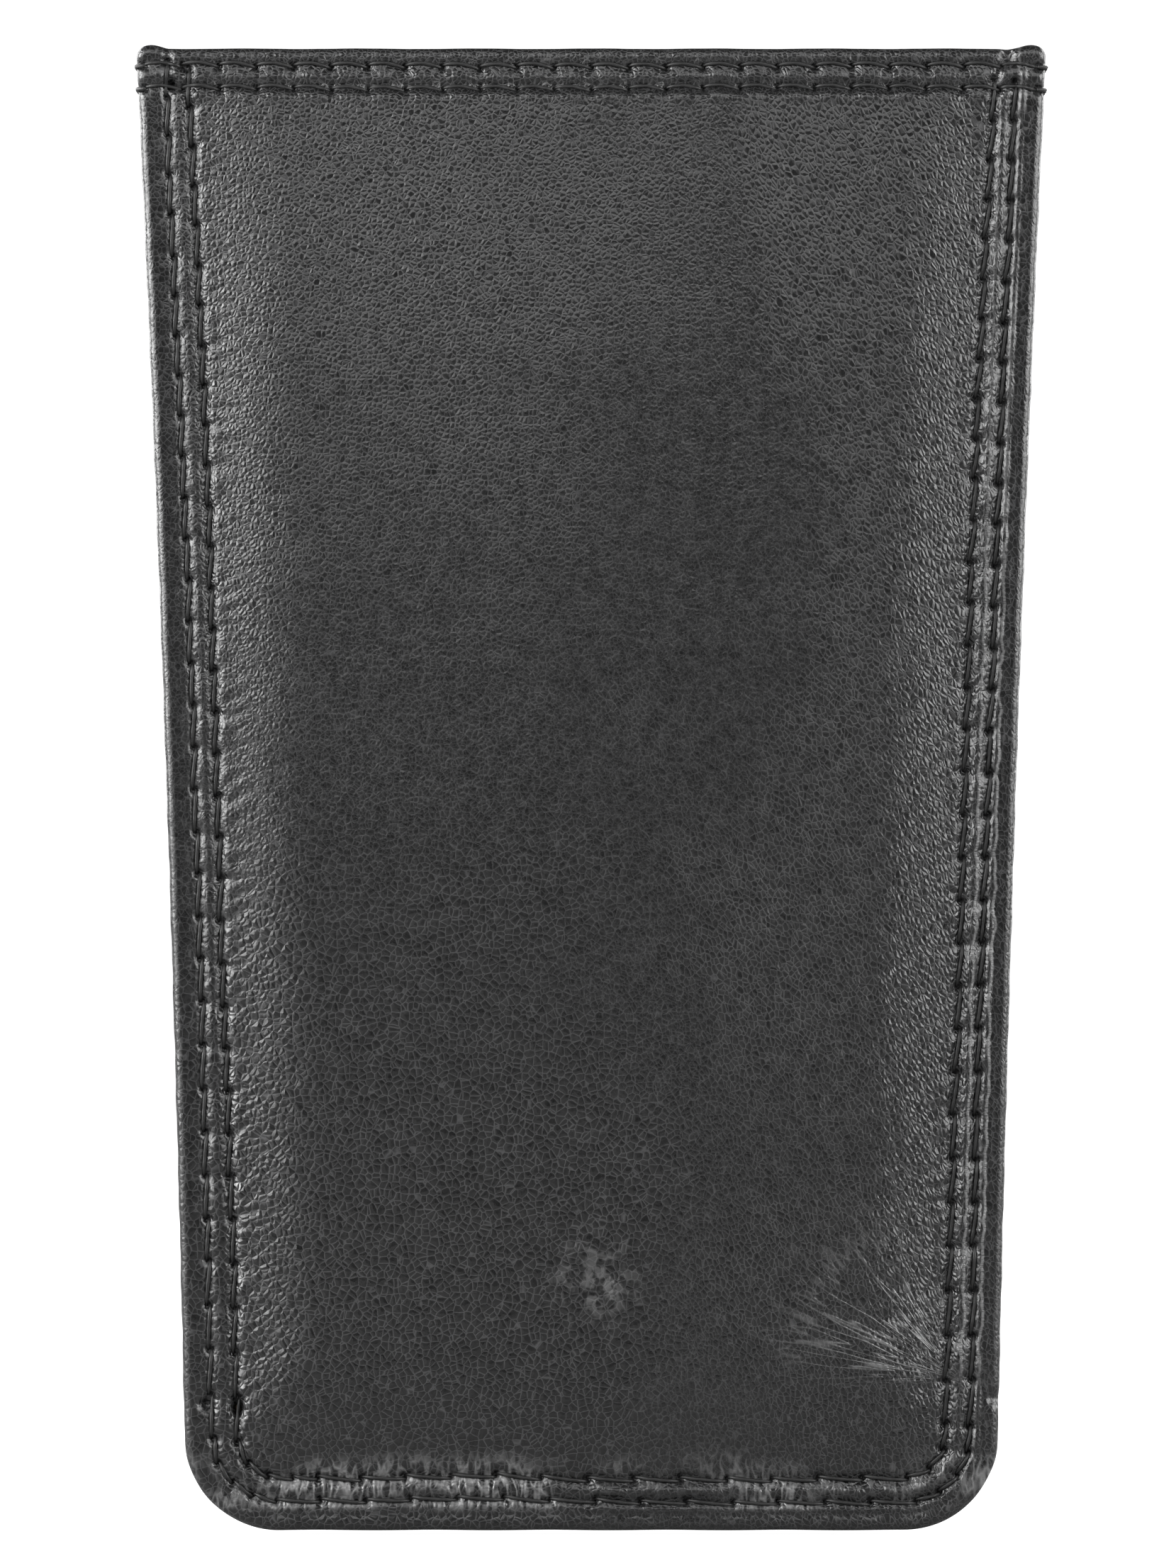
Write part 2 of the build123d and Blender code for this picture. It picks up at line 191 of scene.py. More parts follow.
MIDDLE, NEAR_MOUTH = (0, 0, 0.07), (0, 0, 0.11)
lights = [
    ("left_light", (-0.46, -0.36, 0.27), MIDDLE, 0.20, 0.36, 2.2),
    ("right_light", (0.50, -0.32, 0.25), MIDDLE, 0.14, 0.36, 1.7),
    ("left_edge_light", (-0.50, -0.08, 0.22), MIDDLE, 0.26, 0.36, 5.0),
    ("right_edge_light", (0.50, -0.08, 0.20), MIDDLE, 0.22, 0.36, 2.0),
    ("top_light", (0.0, -0.24, 0.27), NEAR_MOUTH, 0.50, 0.12, 0.52),
    ("back_left_light", (-0.45, 0.42, 0.30), MIDDLE, 0.25, 0.5, 3.0),
    ("back_right_light", (0.48, 0.40, 0.26), MIDDLE, 0.25, 0.5, 2.4),
]
for light in lights:
    soft_light(*light)
print(len(lights), "lights")

# %% [markdown]
# ## Building finishes from nodes
#
# A finish in Blender is a small graph of nodes. One helper adds a node and fills its inputs, either
# with a number or with another node's output, and everything else here is made with it. The maths
# nodes take two values at a time, so longer products and sums are folded up pair by pair.


# %% Node helpers
def feed(tree, node, inputs):
    """Sets a node's inputs to plain values, or links them to other nodes' outputs."""
    for slot, value in inputs.items():
        if isinstance(value, bpy.types.NodeSocket):
            tree.links.new(value, node.inputs[slot])
        else:
            node.inputs[slot].default_value = value


def add_node(tree, kind, inputs=None, **options):
    """Adds one shader node with its options set and its inputs fed."""
    node = tree.nodes.new("ShaderNode" + kind)
    for option, value in options.items():
        setattr(node, option, value)
    feed(tree, node, inputs or {})
    return node


def math_node(tree, operation, *values, clamp=False):
    """A Math node on sockets or numbers."""
    node = add_node(tree, "Math", dict(enumerate(values)), operation=operation, use_clamp=clamp)
    return node.outputs["Value"]


def fold(tree, operation, first, *others):
    """Puts several values together, pair by pair, with one maths operation."""
    for value in others:
        first = math_node(tree, operation, first, value)
    return first


def product(tree, *values):
    """All the values multiplied."""
    return fold(tree, "MULTIPLY", *values)


def total(tree, *values):
    """All the values added."""
    return fold(tree, "ADD", *values)


def ramp(tree, value, low, high, to_low=0.0, to_high=1.0):
    """Smoothly maps low..high to to_low..to_high."""
    ends = {"From Min": low, "From Max": high, "To Min": to_low, "To Max": to_high}
    node = add_node(tree, "MapRange", {"Value": value, **ends}, interpolation_type="SMOOTHSTEP")
    return node.outputs["Result"]


def bump(tree, height, strength, distance):
    """The normal that a height gives."""
    node = add_node(tree, "Bump", {"Height": height, "Strength": strength, "Distance": distance})
    return node.outputs["Normal"]


def new_material(name):
    """An empty node material with its Principled shader joined to the output."""
    material = bpy.data.materials.new(name)
    material.use_nodes = True
    tree = material.node_tree
    tree.nodes.clear()
    shader = add_node(tree, "BsdfPrincipled")
    add_node(tree, "OutputMaterial", {"Surface": shader.outputs["BSDF"]})
    return material, tree, shader


# %% [markdown]
# ## The studio
#
# The surroundings are a plain white sweep: a pale floor and a sky of even white light that the
# camera sees directly. What the leather reflects is dimmer than what the camera sees, which the Light
# Path node separates, so the background can be white while the leather stays black. The dim sky
# brightens with height, so the face darkens towards the foot.

# %% Background and floor
WHITE = (1, 1, 1, 1)
SKY_STRENGTH, FLOOR_STRENGTH = 1.15, 0.97  # just enough for the camera to see plain white
FLOOR_DROP = 0.0004
FLOOR_SIZE = 6
world = bpy.data.worlds.new("studio")
bpy.context.scene.world = world
world.use_nodes = True
sky = world.node_tree
sky.nodes.clear()
seen = add_node(sky, "Background", {"Color": WHITE, "Strength": SKY_STRENGTH})
climb = add_node(sky, "SeparateXYZ", {"Vector": add_node(sky, "TexCoord").outputs["Generated"]})
glow = add_node(sky, "Background", {"Strength": ramp(sky, climb.outputs["Z"], -0.30, 0.38, 0.03, 0.17)})
is_seen = add_node(sky, "LightPath").outputs["Is Camera Ray"]
choose = add_node(sky, "MixShader", {0: is_seen, 1: glow.outputs[0], 2: seen.outputs[0]})
add_node(sky, "OutputWorld", {"Surface": choose.outputs[0]})

floor_finish, floor_tree, floor_shader = new_material("pale_floor")
floor_seen = add_node(floor_tree, "LightPath").outputs["Is Camera Ray"]
feed(floor_tree, floor_shader, {
    "Base Color": (0.3, 0.3, 0.3, 1),
    "Roughness": 0.9,
    "Emission Color": WHITE,
    "Emission Strength": product(floor_tree, floor_seen, FLOOR_STRENGTH),
})
bpy.ops.mesh.primitive_grid_add(
    x_subdivisions=8, y_subdivisions=8, size=FLOOR_SIZE, location=(0, 0, -FLOOR_DROP)
)
floor = bpy.context.active_object
floor.name = "studio_floor"
floor.data.materials.append(floor_finish)
bpy.context.scene.view_settings.view_transform = "Standard"
print("studio ready")

# %% [markdown]
# ## Where the needle goes
#
# A sewing machine makes holes one stitch length apart. Everything a seam shows comes from those
# holes: the thread spans from one to the next, the leather is pulled down at each hole and swells
# up between the rows. So the holes are worked out first, one list a row, and both the leather's
# relief and the threads are made from the same lists.


# %% Stitch holes
SIDE_STITCH, SIDE_STITCH_GROWTH, CORNER_STITCH, HEM_STITCH = 3.0, 0.45, 1.9, 2.85
CORNER_REACH = 4  # the short stitches go this far each way from the middle of a corner
FOOT_SAG_AT, FOOT_SAG_WIDTH = -8, 6  # where the seam runs lower along the foot
HEM_END = 0.55  # from the side edge in to the first hole of a hem row


def seam_holes(inset, top_gap, wander, seed):
    """Holes of one seam row: longer stitches towards the foot, short ones round the corners."""
    rng = np.random.default_rng(seed)
    whole = row_length(inset)
    side = HEIGHT - CORNER
    way, holes = top_gap, []
    while way < whole - top_gap:
        near = min(way, whole - way)
        in_corner = abs(near - side - CORNER * 0.5) < CORNER_REACH
        pitch = CORNER_STITCH if in_corner else SIDE_STITCH + SIDE_STITCH_GROWTH * near / side
        point, normal = row_point(inset, way)
        drift = wander * math.sin(way / 11.0 + seed) + rng.normal(0, 0.045)
        off_sag = point[0] - FOOT_SAG_AT
        if point[1] < 6 and abs(off_sag) < 14:
            drift += 4 * wander * math.exp(-((off_sag / FOOT_SAG_WIDTH) ** 2))
        holes.append(point - normal * drift)
        way += pitch * (1 + rng.normal(0, 0.02))
    return np.array(holes)


def hem_holes(drop, seed):
    """Holes of one hem row, which runs right across and is turned in with the side edges."""
    rng = np.random.default_rng(seed)
    z = HEIGHT - drop
    reach = half_width(z) - HEM_END
    count = round(2 * reach / HEM_STITCH) + 1
    x = np.linspace(-reach, reach, count)
    return np.stack([x, z + rng.normal(0, 0.035, count) + 0.05 * np.sin(x / 9 + seed)], 1)


rows = {
    "outer": seam_holes(OUTER_ROW, 0.9, 0.06, 3),
    "inner": seam_holes(INNER_ROW, 1.6, 0.08, 5),
    "hem_upper": hem_holes(HEM_UPPER, 11),
    "hem_lower": hem_holes(HEM_LOWER, 12),
}
print("stitches:", {name: len(holes) - 1 for name, holes in rows.items()})

# %% [markdown]
# ## The leather's relief
#
# Each panel's face is a height map: how far the leather stands out at every point. It adds up what a
# hand would feel. A padded panel rises with a soft shoulder inside the inner row. Each row of stitches
# pulls a groove, and each hole a pit. Beside every stitch the leather swells. Short gathers run in
# from the side seams, and a slow unevenness over the whole face keeps the reflections from looking
# like plastic.


# %% Smooth noise for hand-made unevenness
def smooth_noise(x, z, scale, seed):
    """Soft random height between about -1 and 1, with features about one scale across."""
    rng = np.random.default_rng(seed)
    height = np.zeros(np.broadcast(x, z).shape)
    for _ in range(9):
        angle = rng.uniform(0, 2 * math.pi)
        wave = 2 * math.pi / (scale * rng.uniform(0.8, 1.9))
        height += np.sin((x * math.cos(angle) + z * math.sin(angle)) * wave + rng.uniform(0, 6.3))
    return height / 3.6


def bell(distance, width):
    """1 at no distance, falling smoothly to 0 over a couple of widths."""
    return np.exp(-((distance / width) ** 2))


def fade(value, low, high):
    """0 below low, 1 above high, and a smooth step between."""
    share = np.clip((value - low) / (high - low), 0, 1)
    return share * share * (3 - 2 * share)


def nearest(points, spots):
    """Distance from each point to the nearest spot. Points far from all of them are left at 9."""
    found = np.full(len(points), 9.0)
    d = edge_distance(points[:, 0], points[:, 1])
    close = np.flatnonzero((d < 6) | (points[:, 1] > HEIGHT - 6))
    for start in range(0, len(close), 8192):
        block = close[start : start + 8192]
        gap = points[block][:, None, :] - spots[None, :, :]
        found[block] = np.sqrt((gap**2).sum(2).min(1))
    return found


# %% The line that each stitch draws
def stitch_frame(holes):
    """Starts, ends and the sideways direction of the stitches of a row."""
    start, end = holes[:-1], holes[1:]
    along = (end - start) / np.linalg.norm(end - start, axis=1)[:, None]
    return start, end, np.stack([along[:, 1], -along[:, 0]], 1)


def stitch_line(holes, shares, lean, arch):
    """Points of every stitch: each leans across its row and arches a little between its holes."""
    start, end, across = stitch_frame(holes)
    shares = np.asarray(shares)[None, :, None]
    off = lean * (2 * shares - 1) + arch * np.sin(np.pi * shares)
    return start[:, None] * (1 - shares) + end[:, None] * shares + across[:, None] * off


LEAN = {"outer": 0.16, "inner": 0.18, "hem_upper": 0.13, "hem_lower": 0.13}
ARCH = {"outer": 0.03, "inner": 0.04, "hem_upper": -0.25, "hem_lower": -0.25}
GROOVE = {"outer": 0.20, "inner": 0.24, "hem_upper": 0.13, "hem_lower": 0.15}
GROOVE_WIDTH, HOLE_DEPTH, HOLE_WIDTH = 0.34, 0.50, 0.26
SWELLINGS = ((0.66, 0.085), (-0.66, 0.075))  # how far to the side of a stitch, and how high
SWELLING_WIDTH = 0.46
LIP_PLACE, LIP_HEIGHT, LIP_WIDTH = np.array([-0.42, 0.30]), 0.11, 0.26
BACKTACKS = np.array([(-32.2, 111.2), (32.0, 113.3), (31.0, 10.2), (-29.6, 9.7), (-27.2, 9.4)])
BACKTACK_DEPTH, BACKTACK_WIDTH = 0.80, 0.42
# ridges along the seam rows: inset, width, height on the left and on the right, scale and seed of noise
RIDGES = ((1.70, 0.22, 0.0165, 0.187, 3.5, 61), (3.08, 0.40, 0.060, 0.204, 3.2, 62))
PAD_INSET, SIDE_SHOULDER, FOOT_SHOULDER, MOUTH_SHOULDER = 4.15, 7.0, 11.0, 22.0
TIGHT_CORNER = (29.5, 10.5)
RIVET_SHOWS = (0.4, 19.3)


# %% Relief of one panel
def seam_relief(x, z):
    """Grooves, stitch holes and the swellings between them, for all four rows."""
    points = np.stack([x, z], 1)
    height = np.zeros(len(points))
    uneven = 1 + 0.35 * smooth_noise(x, z, 6, 91)
    for name, holes in rows.items():
        line = stitch_line(holes, np.linspace(0.0, 1.0, 11), LEAN[name], ARCH[name]).reshape(-1, 2)
        height -= GROOVE[name] * bell(nearest(points, line), GROOVE_WIDTH)
        height -= HOLE_DEPTH * bell(nearest(points, holes), HOLE_WIDTH)
        _, end, across = stitch_frame(holes)
        middle = stitch_line(holes, [0.35, 0.5, 0.65], LEAN[name], ARCH[name])
        for sideways, amount in SWELLINGS:
            spots = (middle + across[:, None] * sideways).reshape(-1, 2)
            height += amount * uneven * bell(nearest(points, spots), SWELLING_WIDTH)
        if name.startswith("hem"):
            height += LIP_HEIGHT * bell(nearest(points, end + LIP_PLACE), LIP_WIDTH)
    for spot in BACKTACKS:
        height -= BACKTACK_DEPTH * bell(np.hypot(x - spot[0], (z - spot[1]) * 0.8), BACKTACK_WIDTH)
    return height


def panel_relief(x, z, side, rise):
    """How far the face stands above the margin's plane, in millimetres."""
    d = edge_distance(x, z)
    h = HEIGHT - z
    from_side = np.clip((half_width(z) - np.abs(x) - PAD_INSET) / SIDE_SHOULDER, 0, 1)
    from_foot = np.clip((np.minimum(z, d + 4) - 4.3) / FOOT_SHOULDER, 0, 1)
    from_mouth = np.clip((h - 3.4) / MOUTH_SHOULDER, 0, 1)
    shoulder = (1 - (1 - from_side) ** 2.3) * (1 - (1 - from_foot) ** 2.0)
    shoulder = shoulder * (0.30 + 0.70 * fade(from_mouth, -0.4, 1.0)) * fade(h, 2.6, 3.9)
    height = rise * shoulder * (1.0 + 0.22 * (1 - (x / 34) ** 2))
    # ridges beside the seam rows, the rolled edge, the dip beside it and the crest of the hem
    seam_on = fade(h, 0.2, 1.2)
    for inset, width, left, right, scale, seed in RIDGES:
        ridge = np.where(x > 0, right, left) * bell(d - inset, width)
        height += ridge * seam_on * (1 + 0.5 * smooth_noise(x, z, scale, seed))
    height += 0.12 * bell(d - 0.55, 0.55)
    height -= 0.05 * bell(d - 1.30, 0.22)
    height += 0.10 * bell(h - 2.3, 0.42) * fade(d, 0.3, 0.9) * (1 + 0.4 * smooth_noise(x, z, 3.0, 63))
    height += seam_relief(x, z)
    # gathers that run in from the side seams, and pucker across the foot seam
    on_side = fade(z, 5, 12) * fade(h, 3, 7)
    reach = fade(d, 4.1, 4.7) * (1 - fade(d, 5.0, 7.6))
    slant = z + 0.45 * d * np.sign(x)
    gather = np.sin(slant * 2 * math.pi / 1.35 + 3.0 * smooth_noise(x, z, 8, 21))
    height += 0.030 * gather * reach * on_side * (1 + 0.9 * smooth_noise(x, z, 5, 22))
    between = np.sin(slant * 2 * math.pi / 0.9 + 3.0 * smooth_noise(x, z, 5, 23))
    height += 0.022 * between * fade(d, 1.3, 1.6) * (1 - fade(d, 4.0, 4.6)) * on_side
    at_foot = bell(z - 3.4, 1.7) * fade(d, 1.4, 2.2)
    pucker = np.sin(x * 2 * math.pi / 1.15 + 4.0 * smooth_noise(x, z, 4, 24))
    height += 0.045 * pucker * at_foot * np.clip(0.4 + smooth_noise(x, z, 9, 25), 0, 1.4)
    # creases that fan in from the lower right corner
    fan_left, fan_up = TIGHT_CORNER[0] - x, z - TIGHT_CORNER[1]
    fan_angle, fan_reach = np.arctan2(fan_up, fan_left), np.hypot(fan_left, fan_up)
    fan = np.sin(fan_angle * 30 + 2.0 * smooth_noise(x, z, 7, 26))
    fan_on = fade(fan_angle, 0.05, 0.25) * (1 - fade(fan_angle, 0.9, 1.5)) * (1 - fade(fan_reach, 6, 21))
    height += 0.055 * np.abs(fan) ** 0.7 * fan_on * fade(d, 4.2, 5.0)
    # where the leather is drawn down on a rivet
    gap = np.hypot(x - RIVET_SHOWS[0], z - RIVET_SHOWS[1])
    dimple = bell(gap - 2.3, 0.8) - bell(gap, 1.5)
    height += rise * 0.10 * dimple * (1 + 0.6 * smooth_noise(x, z, 2.2, 27))
    # slow unevenness
    height += 0.050 * rise * smooth_noise(x, z, 26, 31 + side) * shoulder
    height += 0.016 * rise * smooth_noise(x, z, 8, 41 + side) * shoulder
    height += 0.010 * smooth_noise(x, z, 2.4, 51 + side)
    return height


# %% [markdown]
# ## From relief to leather
#
# The seams all run alongside the edge, so the mesh does too: fine rings of points follow the outline
# across the margin, where every stitch shows, and a coarser grid fills the padded middle. From the
# outermost ring the mesh rolls over the edge, down the side, and turns in between the panels, as
# turned-edge leather does. At the mouth it rolls over the hem and goes down inside the pocket. That
# makes each panel one closed skin.


# %% Rings along the outline
SIDE_POINTS, ARC_POINTS, FOOT_POINTS, MOUTH_POINTS, FAN_POINTS = 470, 34, 232, 320, 5
RING_STEP, LAST_RING = 0.185, 6.3
GRID_STEP = 0.58


def ring_at(inset):
    """Points and outward normals of one ring, from the left of the mouth round the foot and back."""
    radius = CORNER - inset
    centre_x = half_width(CORNER) - CORNER
    down = np.linspace(HEIGHT - inset, CORNER, SIDE_POINTS, endpoint=False)
    turn = np.linspace(0, math.pi / 2, ARC_POINTS, endpoint=False)
    left = np.concatenate([
        np.stack([-(half_width(down) - inset), down], 1),
        np.stack([-centre_x - radius * np.cos(turn), CORNER - radius * np.sin(turn)], 1),
    ])
    left_normals = np.concatenate([
        np.stack([-np.ones(SIDE_POINTS), side_lean(down)], 1),
        np.stack([-np.cos(turn), -np.sin(turn)], 1),
    ])
    foot_x = np.linspace(-centre_x, centre_x, FOOT_POINTS)
    foot = np.stack([foot_x, np.full(FOOT_POINTS, inset)], 1)
    foot_normals = np.tile([0.0, -1.0], (FOOT_POINTS, 1))
    flip = np.array([-1.0, 1.0])
    corner = np.array([half_width(HEIGHT - inset) - inset, HEIGHT - inset])
    fan = np.linspace(0, math.pi / 2, FAN_POINTS + 2)[1:-1]
    fan_normals = np.stack([np.cos(fan), np.sin(fan)], 1)
    mouth_x = np.linspace(corner[0], -corner[0], MOUTH_POINTS)
    mouth = np.stack([mouth_x, np.full(MOUTH_POINTS, corner[1])], 1)
    mouth_normals = np.tile([0.0, 1.0], (MOUTH_POINTS, 1))
    points = [left, foot, left[::-1] * flip, np.tile(corner, (FAN_POINTS, 1)), mouth,
              np.tile(corner * flip, (FAN_POINTS, 1))]
    normals = [left_normals, foot_normals, left_normals[::-1] * flip, fan_normals, mouth_normals,
               fan_normals[::-1] * flip]
    normals = np.concatenate(normals)
    return np.concatenate(points), normals / np.linalg.norm(normals, axis=1)[:, None]


def middle_grid():
    """Grid points inside the last ring, as arrays x[row, column] and z[row, column]."""
    inset = LAST_RING + GRID_STEP
    heights = np.linspace(inset, HEIGHT - inset, round((HEIGHT - 2 * inset) / GRID_STEP))
    shares = np.linspace(-1, 1, round(2 * (half_width(HEIGHT / 2) - inset) / GRID_STEP))
    x = shares[None, :] * (half_width(heights) - inset)[:, None]
    return x, np.repeat(heights[:, None], len(shares), 1)


def zip_loops(outer, inner, spots, faces):
    """Fills the gap between two loops of point numbers with triangles, always along the shorter diagonal."""
    i = j = 0
    while i < len(outer) or j < len(inner):
        a, b = outer[i % len(outer)], inner[j % len(inner)]
        next_a, next_b = outer[(i + 1) % len(outer)], inner[(j + 1) % len(inner)]
        outer_gap = np.hypot(*(spots[next_a] - spots[b]))
        inner_gap = np.hypot(*(spots[next_b] - spots[a]))
        if j == len(inner) or (i < len(outer) and outer_gap <= inner_gap):
            faces.append((a, next_a, b))
            i += 1
        else:
            faces.append((a, next_b, b))
            j += 1


def ring_faces(first, second):
    """Quads between two rings of point numbers."""
    return list(zip(first, np.roll(first, -1), np.roll(second, -1), second))


def grid_faces(grid):
    """Quads between the point numbers of a grid."""
    corners = (grid[:-1, :-1], grid[:-1, 1:], grid[1:, 1:], grid[1:, :-1])
    return list(zip(*(corner.ravel() for corner in corners)))


print("points in a ring:", len(ring_at(EDGE_ROLL)[0]))


# %% Build one panel's skin
def mesh_object(name, vertices, faces, finish):
    """Makes an object from points in millimetres, welded where points meet and smooth shaded."""
    mesh = bpy.data.meshes.new(name)
    metres = (np.asarray(vertices, float) * MM).tolist()
    mesh.from_pydata(metres, [], [tuple(map(int, face)) for face in faces])
    work = bmesh.new()
    work.from_mesh(mesh)
    bmesh.ops.remove_doubles(work, verts=work.verts, dist=WELD * MM)
    bmesh.ops.recalc_face_normals(work, faces=work.faces)
    work.to_mesh(mesh)
    work.free()
    mesh.validate()
    mesh.polygons.foreach_set("use_smooth", [True] * len(mesh.polygons))
    made = bpy.data.objects.new(name, mesh)
    bpy.context.scene.collection.objects.link(made)
    made.data.materials.append(finish)
    return made


def mouth_ear(x, z):
    """The mouth's corners stand up a little, where the hem is folded over the side allowance."""
    corner = half_width(HEIGHT) - 1.2
    return 0.28 * bell(np.abs(x) - corner, 0.9) * fade(z, HEIGHT - 2.2, HEIGHT)


def rim_sections(base, normals, face_depth):
    """Rings that roll over the edge and turn in between the panels: their spots and their depths."""
    at_mouth = normals[:, 1] > 0.7
    x, z = base.T
    open_share = fade(half_width(HEIGHT) - 4.6 - np.abs(x), 0, 4.0)
    gap = np.where(at_mouth, POCKET_HALF * open_share, 0.0)
    wobble = 0.03 * np.sin(z * 0.9 + x * 0.7) + 0.02 * np.sin(z * 2.3 + 1)
    for turn in np.linspace(0, math.pi / 2, 7)[1:]:
        out_by = EDGE_ROLL * math.sin(turn)
        yield base + normals * (out_by * (1 + wobble))[:, None], face_depth - EDGE_ROLL * (1 - math.cos(turn))
    for out_by, level in ((EDGE_ROLL, np.maximum(0.35, gap + 0.3)), (EDGE_ROLL - 0.1, gap + 0.1),
                          (EDGE_ROLL - 0.35, gap + 0.01)):
        yield base + normals * out_by, level
    top = HEIGHT - HEM_DEEP
    inner_z = np.where(at_mouth, top, np.clip(z, TURNED_IN, top))
    reach = half_width(inner_z) - TURNED_IN
    inner_x = np.where(at_mouth, x * reach / half_width(HEIGHT), np.clip(x, -reach, reach))
    inner = np.stack([inner_x, inner_z], 1)
    yield inner, np.maximum(gap, 0.01)
    yield inner, np.full(len(base), LINING_DEPTH)


def make_panel(name, side, rise, finish):
    """One panel of the sleeve: its face, rolled edges, turned-in allowance and hem, as one skin."""
    insets = np.linspace(EDGE_ROLL, LAST_RING, round((LAST_RING - EDGE_ROLL) / RING_STEP) + 1)
    rings = [ring_at(inset)[0] for inset in insets]
    grid_x, grid_z = middle_grid()
    face_spots = np.concatenate(rings + [np.stack([grid_x.ravel(), grid_z.ravel()], 1)])
    depth = MARGIN_DEPTH + panel_relief(face_spots[:, 0], face_spots[:, 1], side, rise)
    around = len(rings[0])
    faces = []
    for ring in range(len(rings) - 1):
        faces.extend(ring_faces(np.arange(around) + ring * around, np.arange(around) + (ring + 1) * around))
    grid = np.arange(grid_x.size).reshape(grid_x.shape) + len(rings) * around
    faces.extend(grid_faces(grid))
    border = np.concatenate([grid[::-1, 0], grid[0, 1:], grid[1:, -1], grid[-1, -2:0:-1]])
    zip_loops(np.arange(around) + (len(rings) - 1) * around, border, face_spots, faces)
    spots, levels = [face_spots], [depth]
    previous, count = np.arange(around), len(face_spots)
    base, normals = ring_at(EDGE_ROLL)
    for ring_spots, ring_levels in rim_sections(base, normals, depth[:around]):
        spots.append(ring_spots)
        levels.append(ring_levels)
        now = np.arange(around) + count
        faces.extend(ring_faces(now, previous))
        previous, count = now, count + around
    # the flesh side, behind the lining
    spots.append(np.array([[0.0, HEIGHT / 2]]))
    levels.append(np.array([LINING_DEPTH]))
    faces.extend((a, b, count) for a, b in zip(np.roll(previous, -1), previous))
    spots, levels = np.concatenate(spots), np.concatenate(levels)
    lift = mouth_ear(spots[:, 0], spots[:, 1])
    vertices = np.stack([spots[:, 0], -side * levels, spots[:, 1] + lift], 1)
    return mesh_object(name, vertices, faces, finish)


# %% [markdown]
# ## Shader groups shared by several finishes
#
# Leather, thread and cloth all need the same few effects: a cell pattern with thin lines between the
# cells, a slow mottle, and thin wrinkles. Each is built once as a node group with named inputs, and
# each finish sets its own values. A group puts out only values that change over the surface.


# %% Helpers for node groups
FLOAT, VECTOR = "NodeSocketFloat", "NodeSocketVector"


def new_group(name, inputs, outputs):
    """An empty shader node group: its tree, the sockets it is given, and its output node."""
    group = bpy.data.node_groups.new(name, "ShaderNodeTree")
    group.interface.new_socket("Position", in_out="INPUT", socket_type=VECTOR)
    for label, value in inputs:
        socket = group.interface.new_socket(label, in_out="INPUT", socket_type=FLOAT)
        socket.default_value = value
    for label in outputs:
        group.interface.new_socket(label, in_out="OUTPUT", socket_type=FLOAT)
    return group, group.nodes.new("NodeGroupInput").outputs, group.nodes.new("NodeGroupOutput")


def add_group(tree, group, position, **values):
    """Places a node group, feeds it the position and sets its named inputs."""
    numbers = {label.replace("_", " "): number for label, number in values.items()}
    return add_node(tree, "Group", {"Position": position, **numbers}, node_tree=group)


def vector_maths(tree, operation, inputs):
    """A Vector Math node's vector."""
    return add_node(tree, "VectorMath", inputs, operation=operation).outputs["Vector"]


# %% The groups
def build_cell_grain():
    """Voronoi cells with warped edges: the pebbled pattern of grain leather."""
    group, given, result = new_group(
        "cell_grain", [("Cells per Metre", 1500.0), ("Warp", 0.0004), ("Line Width", 0.12)], ["Line", "Dome"]
    )
    warp = add_node(group, "TexNoise", {"Vector": given["Position"], "Scale": 900.0, "Detail": 2.0})
    centred = vector_maths(group, "SUBTRACT", {0: warp.outputs["Color"], 1: (0.5, 0.5, 0.5)})
    push = vector_maths(group, "SCALE", {0: centred, "Scale": given["Warp"]})
    moved = vector_maths(group, "ADD", {0: given["Position"], 1: push})
    cells = add_node(group, "TexVoronoi", {"Vector": moved, "Scale": given["Cells per Metre"]},
                     feature="DISTANCE_TO_EDGE")
    inward = cells.outputs["Distance"]
    off_line = math_node(group, "DIVIDE", inward, given["Line Width"])
    line = math_node(group, "SUBTRACT", 1.0, off_line, clamp=True)
    feed(group, result, {"Line": line, "Dome": math_node(group, "MULTIPLY", inward, 2.2, clamp=True)})
    return group


def build_mottle():
    """A soft blotchy value for uneven dye and uneven polish."""
    group, given, result = new_group("mottle", [("Blotches per Metre", 60.0)], ["Blotch", "Fine"])
    for label, factor, detail in (("Blotch", 1.0, 3.0), ("Fine", 24.0, 4.0)):
        scale = product(group, given["Blotches per Metre"], factor)
        noise = add_node(group, "TexNoise", {"Vector": given["Position"], "Scale": scale, "Detail": detail})
        feed(group, result, {label: noise.outputs["Fac"]})
    return group


def build_wrinkles():
    """Thin irregular lines that run along one direction of the position they are given."""
    group, given, result = new_group("wrinkles", [("Fineness", 7.0)], ["Line"])
    noise = add_node(group, "TexNoise", {"Vector": given["Position"], "Scale": 1.0, "Detail": 1.0})
    off_middle = math_node(group, "ABSOLUTE", math_node(group, "SUBTRACT", noise.outputs["Fac"], 0.5))
    steep = product(group, off_middle, given["Fineness"])
    feed(group, result, {"Line": math_node(group, "SUBTRACT", 1.0, steep, clamp=True)})
    return group


cell_grain = build_cell_grain()
wrinkles = build_wrinkles()
mottle = build_mottle()
print("shader groups:", [group.name for group in bpy.data.node_groups])
